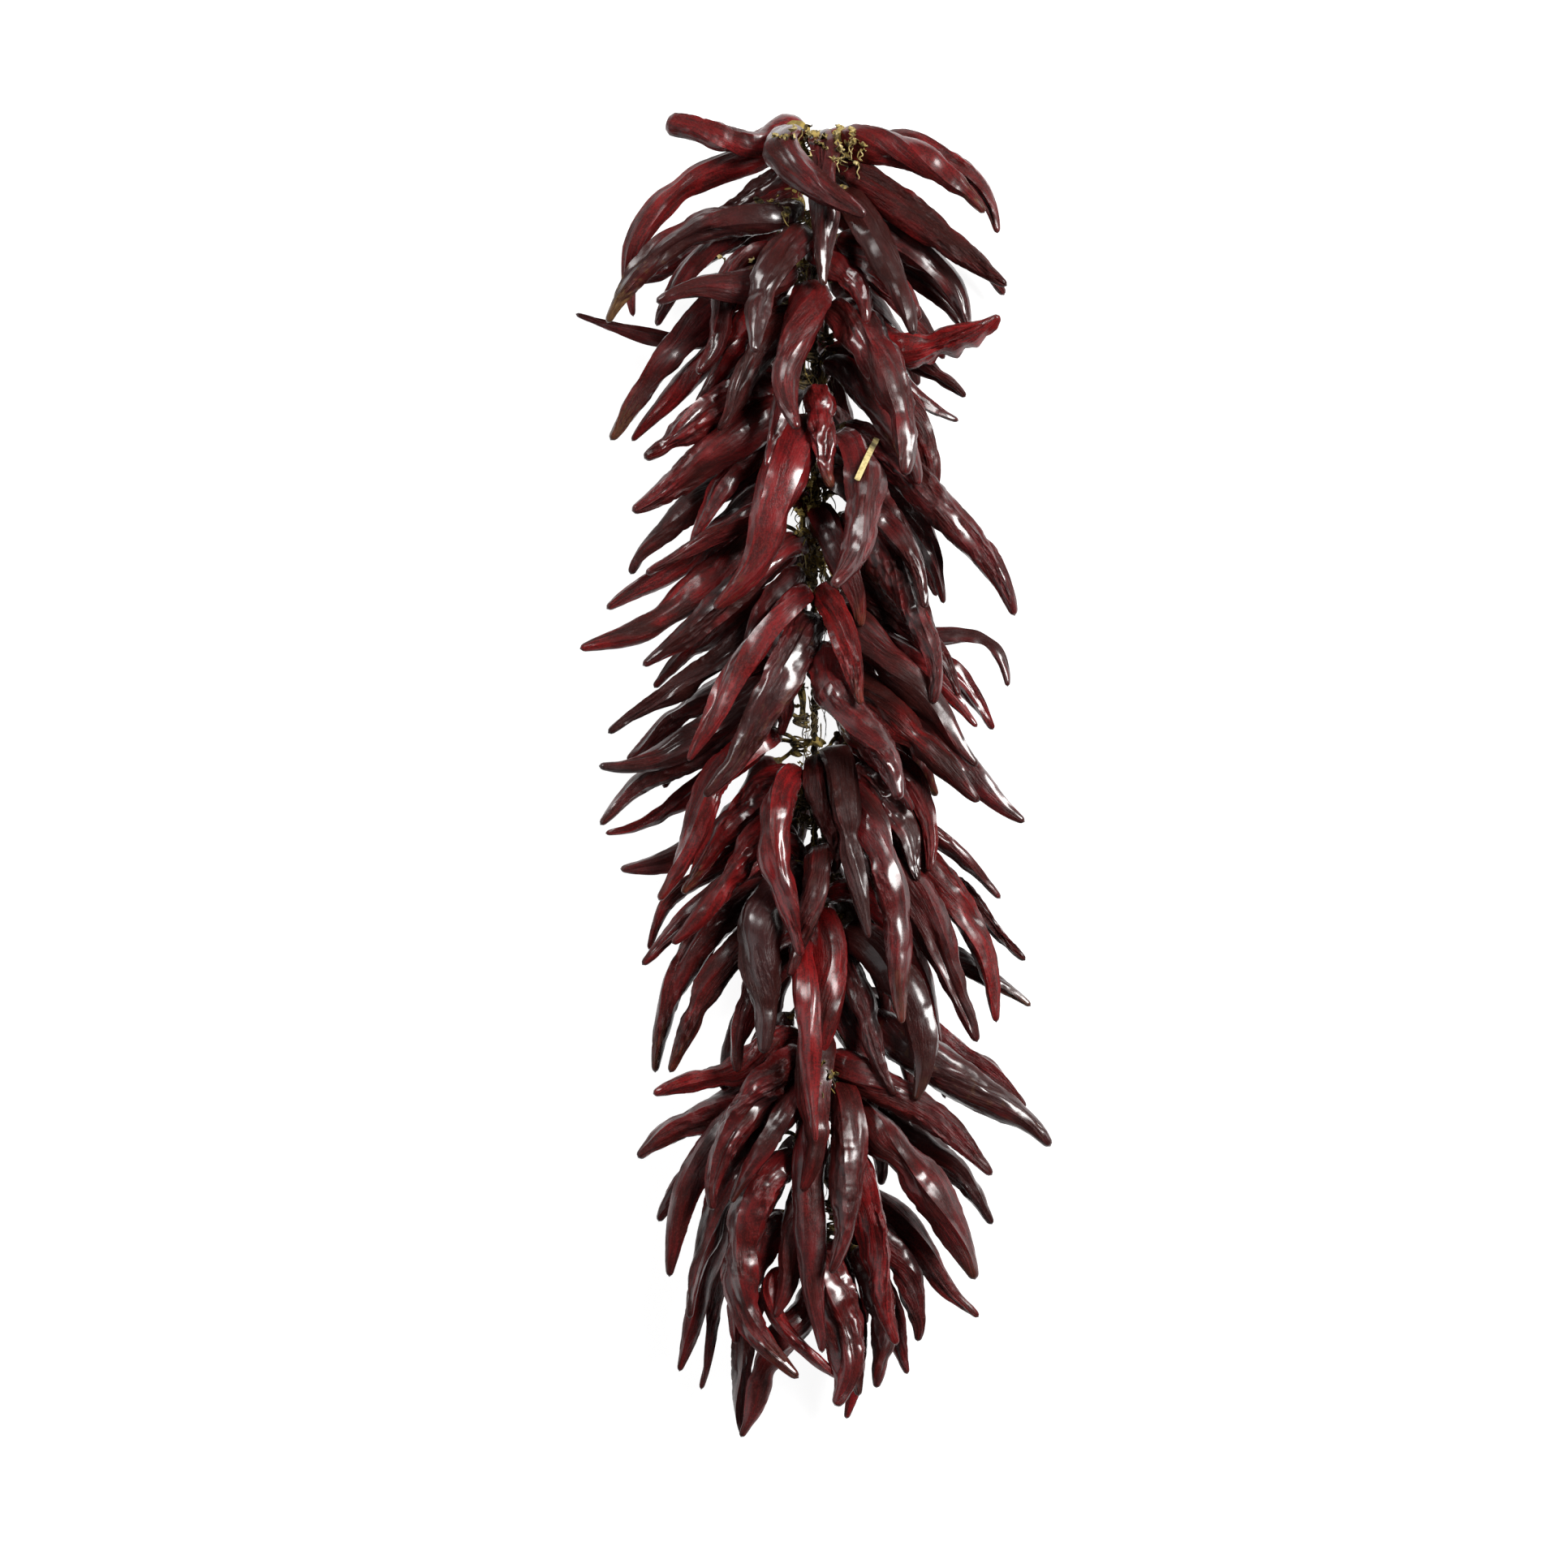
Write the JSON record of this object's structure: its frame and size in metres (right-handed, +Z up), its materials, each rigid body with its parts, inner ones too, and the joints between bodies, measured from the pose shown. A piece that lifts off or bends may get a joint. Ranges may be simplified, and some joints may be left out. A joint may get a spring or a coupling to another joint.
{
  "type": "dried chilli string",
  "caption": "Long string of dried chilli pods tied in threes down a cord, laid flat; slender pods with pointed tips droop outwards all round and thin to a tapered foot",
  "frame": {"origin": "middle of the underside of the whole string as it lies on its back: the surface it lies on is z = 0", "axes": "+Y runs up the string to the end it is hung from, +X runs across it to the right of the shown side, +Z points up out of the shown side"},
  "size_m": [0.3322, 0.9132, 0.1442],
  "materials": {
    "oxblood_skin": "dried pod skin, dark oxblood red, leathery with a soft gloss and long creases",
    "maroon_skin": "dried pod skin, deep maroon with a faint purple sheen, wrinkled",
    "black_brown_skin": "dried pod skin, black-brown, leathery with a dull shine",
    "cord_fibre": "brown-olive twisted fibre, matt",
    "pale_straw": "dry pale yellow straw, matt with fine lengthways lines"
  },
  "bodies": {
    "root": {"bunch_01": "oxblood_skin", "bunch_02": "maroon_skin", "bunch_03": "black_brown_skin", "bunch_04": "oxblood_skin", "bunch_05": "maroon_skin", "bunch_06": "black_brown_skin", "bunch_07": "oxblood_skin", "bunch_08": "maroon_skin", "bunch_09": "black_brown_skin", "bunch_10": "oxblood_skin", "bunch_11": "maroon_skin", "bunch_12": "black_brown_skin", "bunch_13": "oxblood_skin", "bunch_14": "maroon_skin", "bunch_15": "black_brown_skin", "bunch_16": "oxblood_skin", "bunch_17": "maroon_skin", "bunch_18": "black_brown_skin", "bunch_19": "oxblood_skin", "bunch_20": "maroon_skin", "bunch_21": "black_brown_skin", "bunch_22": "oxblood_skin", "bunch_23": "maroon_skin", "bunch_24": "black_brown_skin", "bunch_25": "oxblood_skin", "bunch_26": "maroon_skin", "bunch_27": "black_brown_skin", "bunch_28": "oxblood_skin", "bunch_29": "maroon_skin", "bunch_30": "black_brown_skin", "bunch_31": "oxblood_skin", "bunch_32": "maroon_skin", "bunch_33": "black_brown_skin", "bunch_34": "oxblood_skin", "bunch_35": "maroon_skin", "bunch_36": "black_brown_skin", "bunch_37": "oxblood_skin", "bunch_38": "maroon_skin", "bunch_39": "black_brown_skin", "bunch_40": "oxblood_skin", "bunch_41": "maroon_skin", "bunch_42": "black_brown_skin", "bunch_43": "oxblood_skin", "bunch_44": "maroon_skin", "bunch_45": "black_brown_skin", "bunch_46": "oxblood_skin", "bunch_47": "maroon_skin", "bunch_48": "black_brown_skin", "bunch_49": "oxblood_skin", "bunch_50": "maroon_skin", "bunch_51": "black_brown_skin", "bunch_52": "oxblood_skin", "bunch_53": "maroon_skin", "bunch_54": "black_brown_skin", "bunch_55": "oxblood_skin", "bunch_56": "maroon_skin", "bunch_57": "black_brown_skin", "cord": "cord_fibre", "straw": "pale_straw"}
  },
  "joints": []
}
